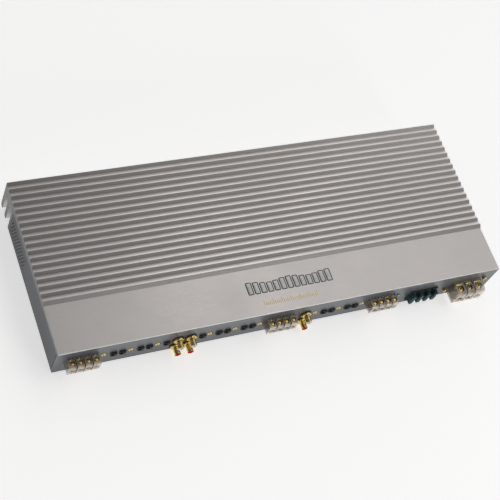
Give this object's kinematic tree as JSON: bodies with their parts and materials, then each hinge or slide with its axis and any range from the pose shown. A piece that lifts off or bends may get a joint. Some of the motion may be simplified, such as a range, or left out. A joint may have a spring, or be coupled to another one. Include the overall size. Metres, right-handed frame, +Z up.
{
  "type": "car amplifier",
  "caption": "Long finned car audio power amplifier with clear screw terminals, phono sockets, level knobs, slide switches and blade fuses along its front wall.",
  "frame": {"origin": "middle of the flat base, on the surface that the case rests on", "axes": "+X along the case from left to right as seen from its front, -Y out of the front wall with the terminals, +Z up"},
  "size_m": [0.64, 0.2602, 0.0544],
  "materials": {
    "case_aluminium": "fine brushed along the length, warm silver grey",
    "end_plate_paint": "satin dark grey",
    "black_steel": "satin black",
    "black_screws": "blackened",
    "circuit_board": "green lacquer",
    "zinc_steel": "zinc plated",
    "clear_plastic": "clear moulded polycarbonate",
    "gold_plate": "gold plated, polished",
    "black_plastic": "moulded, satin",
    "switch_black": "moulded, satin",
    "white_plastic": "moulded, gloss",
    "red_plastic": "moulded, gloss",
    "fuse_teal": "tinted moulding, gloss",
    "lamp_lens": "dark lens, unlit",
    "copper_winding": "enamelled copper wire",
    "capacitor_sleeve": "shrink sleeve"
  },
  "bodies": {
    "case": {"heatsink": "case_aluminium", "bottom_plate": "black_steel", "left_end_plate": "end_plate_paint", "right_end_plate": "end_plate_paint", "main_board": "circuit_board", "control_board": "circuit_board", "board_spacers": "zinc_steel", "board_screws": "zinc_steel", "bottom_screws": "black_screws", "speaker_terminal_1": "clear_plastic", "speaker_terminal_2": "clear_plastic", "speaker_terminal_3": "clear_plastic", "speaker_clamps": "gold_plate", "speaker_clamp_screws": "gold_plate", "power_terminal": "clear_plastic", "power_clamps": "gold_plate", "power_clamp_screws": "gold_plate", "terminal_fixing_screws": "gold_plate", "rca_blocks": "black_plastic", "rca_washers": "black_plastic", "rca_shells": "gold_plate", "rca_white_insulators": "white_plastic", "rca_red_insulators": "red_plastic", "rca_contacts": "gold_plate", "fuse_holder": "black_plastic", "level_pots": "black_plastic", "switch_frames": "black_plastic", "status_led": "lamp_lens", "toroidal_transformers": "copper_winding", "reservoir_capacitors": "capacitor_sleeve", "power_transistors": "black_plastic", "clamp_bars": "zinc_steel", "mounting_nuts": "zinc_steel"},
    "level_knob_1": {"level_knob_1": "gold_plate"},
    "level_knob_2": {"level_knob_2": "gold_plate"},
    "level_knob_3": {"level_knob_3": "gold_plate"},
    "level_knob_4": {"level_knob_4": "gold_plate"},
    "level_knob_5": {"level_knob_5": "gold_plate"},
    "level_knob_6": {"level_knob_6": "gold_plate"},
    "level_knob_7": {"level_knob_7": "gold_plate"},
    "level_knob_8": {"level_knob_8": "gold_plate"},
    "level_knob_9": {"level_knob_9": "gold_plate"},
    "switch_slider_01": {"switch_slider_01": "switch_black"},
    "switch_slider_02": {"switch_slider_02": "switch_black"},
    "switch_slider_03": {"switch_slider_03": "switch_black"},
    "switch_slider_04": {"switch_slider_04": "switch_black"},
    "switch_slider_05": {"switch_slider_05": "switch_black"},
    "switch_slider_06": {"switch_slider_06": "switch_black"},
    "switch_slider_07": {"switch_slider_07": "switch_black"},
    "switch_slider_08": {"switch_slider_08": "switch_black"},
    "switch_slider_09": {"switch_slider_09": "switch_black"},
    "switch_slider_10": {"switch_slider_10": "switch_black"},
    "switch_slider_11": {"switch_slider_11": "switch_black"},
    "switch_slider_12": {"switch_slider_12": "switch_black"},
    "switch_slider_13": {"switch_slider_13": "switch_black"},
    "switch_slider_14": {"switch_slider_14": "switch_black"},
    "fuse_1": {"fuse_1": "fuse_teal"},
    "fuse_2": {"fuse_2": "fuse_teal"},
    "fuse_3": {"fuse_3": "fuse_teal"},
    "fuse_4": {"fuse_4": "fuse_teal"}
  },
  "joints": [
    {"name": "level_knob_1_turn", "type": "hinge", "parent": "case", "child": "level_knob_1", "pos_m": [-0.2575, -0.1205, 0.024], "axis": [0, -1, 0], "range_deg": [-140, 140]},
    {"name": "level_knob_2_turn", "type": "hinge", "parent": "case", "child": "level_knob_2", "pos_m": [-0.222, -0.1205, 0.024], "axis": [0, -1, 0], "range_deg": [-140, 140]},
    {"name": "level_knob_3_turn", "type": "hinge", "parent": "case", "child": "level_knob_3", "pos_m": [-0.1865, -0.1205, 0.024], "axis": [0, -1, 0], "range_deg": [-140, 140]},
    {"name": "level_knob_4_turn", "type": "hinge", "parent": "case", "child": "level_knob_4", "pos_m": [-0.115, -0.1205, 0.024], "axis": [0, -1, 0], "range_deg": [-140, 140]},
    {"name": "level_knob_5_turn", "type": "hinge", "parent": "case", "child": "level_knob_5", "pos_m": [-0.0795, -0.1205, 0.024], "axis": [0, -1, 0], "range_deg": [-140, 140]},
    {"name": "level_knob_6_turn", "type": "hinge", "parent": "case", "child": "level_knob_6", "pos_m": [-0.044, -0.1205, 0.024], "axis": [0, -1, 0], "range_deg": [-140, 140]},
    {"name": "level_knob_7_turn", "type": "hinge", "parent": "case", "child": "level_knob_7", "pos_m": [0.0375, -0.1205, 0.024], "axis": [0, -1, 0], "range_deg": [-140, 140]},
    {"name": "level_knob_8_turn", "type": "hinge", "parent": "case", "child": "level_knob_8", "pos_m": [0.073, -0.1205, 0.024], "axis": [0, -1, 0], "range_deg": [-140, 140]},
    {"name": "level_knob_9_turn", "type": "hinge", "parent": "case", "child": "level_knob_9", "pos_m": [0.1085, -0.1205, 0.024], "axis": [0, -1, 0], "range_deg": [-140, 140]},
    {"name": "switch_slider_01_slide", "type": "slide", "parent": "case", "child": "switch_slider_01", "axis": [1, 0, 0], "range_m": [-0.0032, 0]},
    {"name": "switch_slider_02_slide", "type": "slide", "parent": "case", "child": "switch_slider_02", "axis": [1, 0, 0], "range_m": [-0.0032, 0]},
    {"name": "switch_slider_03_slide", "type": "slide", "parent": "case", "child": "switch_slider_03", "axis": [1, 0, 0], "range_m": [-0.0032, 0]},
    {"name": "switch_slider_04_slide", "type": "slide", "parent": "case", "child": "switch_slider_04", "axis": [1, 0, 0], "range_m": [-0.0032, 0]},
    {"name": "switch_slider_05_slide", "type": "slide", "parent": "case", "child": "switch_slider_05", "axis": [1, 0, 0], "range_m": [-0.0032, 0]},
    {"name": "switch_slider_06_slide", "type": "slide", "parent": "case", "child": "switch_slider_06", "axis": [1, 0, 0], "range_m": [-0.0032, 0]},
    {"name": "switch_slider_07_slide", "type": "slide", "parent": "case", "child": "switch_slider_07", "axis": [1, 0, 0], "range_m": [-0.0032, 0]},
    {"name": "switch_slider_08_slide", "type": "slide", "parent": "case", "child": "switch_slider_08", "axis": [1, 0, 0], "range_m": [-0.0032, 0]},
    {"name": "switch_slider_09_slide", "type": "slide", "parent": "case", "child": "switch_slider_09", "axis": [1, 0, 0], "range_m": [-0.0032, 0]},
    {"name": "switch_slider_10_slide", "type": "slide", "parent": "case", "child": "switch_slider_10", "axis": [1, 0, 0], "range_m": [-0.0032, 0]},
    {"name": "switch_slider_11_slide", "type": "slide", "parent": "case", "child": "switch_slider_11", "axis": [1, 0, 0], "range_m": [-0.0032, 0]},
    {"name": "switch_slider_12_slide", "type": "slide", "parent": "case", "child": "switch_slider_12", "axis": [1, 0, 0], "range_m": [-0.0032, 0]},
    {"name": "switch_slider_13_slide", "type": "slide", "parent": "case", "child": "switch_slider_13", "axis": [1, 0, 0], "range_m": [-0.0032, 0]},
    {"name": "switch_slider_14_slide", "type": "slide", "parent": "case", "child": "switch_slider_14", "axis": [1, 0, 0], "range_m": [-0.0032, 0]},
    {"name": "fuse_1_pull", "type": "slide", "parent": "case", "child": "fuse_1", "axis": [0, -1, 0], "range_m": [0, 0.024]},
    {"name": "fuse_2_pull", "type": "slide", "parent": "case", "child": "fuse_2", "axis": [0, -1, 0], "range_m": [0, 0.024]},
    {"name": "fuse_3_pull", "type": "slide", "parent": "case", "child": "fuse_3", "axis": [0, -1, 0], "range_m": [0, 0.024]},
    {"name": "fuse_4_pull", "type": "slide", "parent": "case", "child": "fuse_4", "axis": [0, -1, 0], "range_m": [0, 0.024]}
  ]
}
